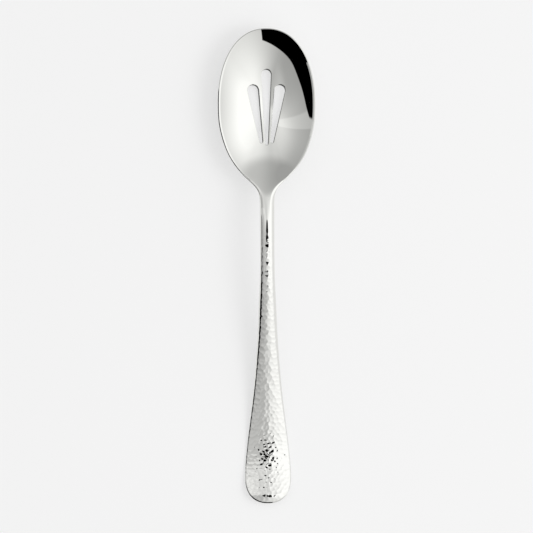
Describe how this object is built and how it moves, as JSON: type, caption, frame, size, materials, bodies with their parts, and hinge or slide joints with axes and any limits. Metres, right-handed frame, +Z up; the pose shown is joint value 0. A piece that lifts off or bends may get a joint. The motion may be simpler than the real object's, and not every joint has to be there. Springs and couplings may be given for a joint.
{
  "type": "slotted serving spoon",
  "caption": "One-piece steel serving spoon with a pierced oval bowl, a plain arched neck and a hammered handle that widens to a rounded end.",
  "frame": {"origin": "middle of the spoon's footprint, on the surface that it lies on", "axes": "+Y along the spoon from the handle's end to the tip of the bowl, +Z up out of the hollow of the bowl, +X across to the right"},
  "size_m": [0.0512, 0.25, 0.021],
  "materials": {
    "mirror_steel": "mirror polished stainless steel",
    "hammered_steel": "hammered and polished stainless steel"
  },
  "bodies": {
    "root": {"bowl": "mirror_steel", "neck": "mirror_steel", "handle": "hammered_steel"}
  },
  "joints": []
}
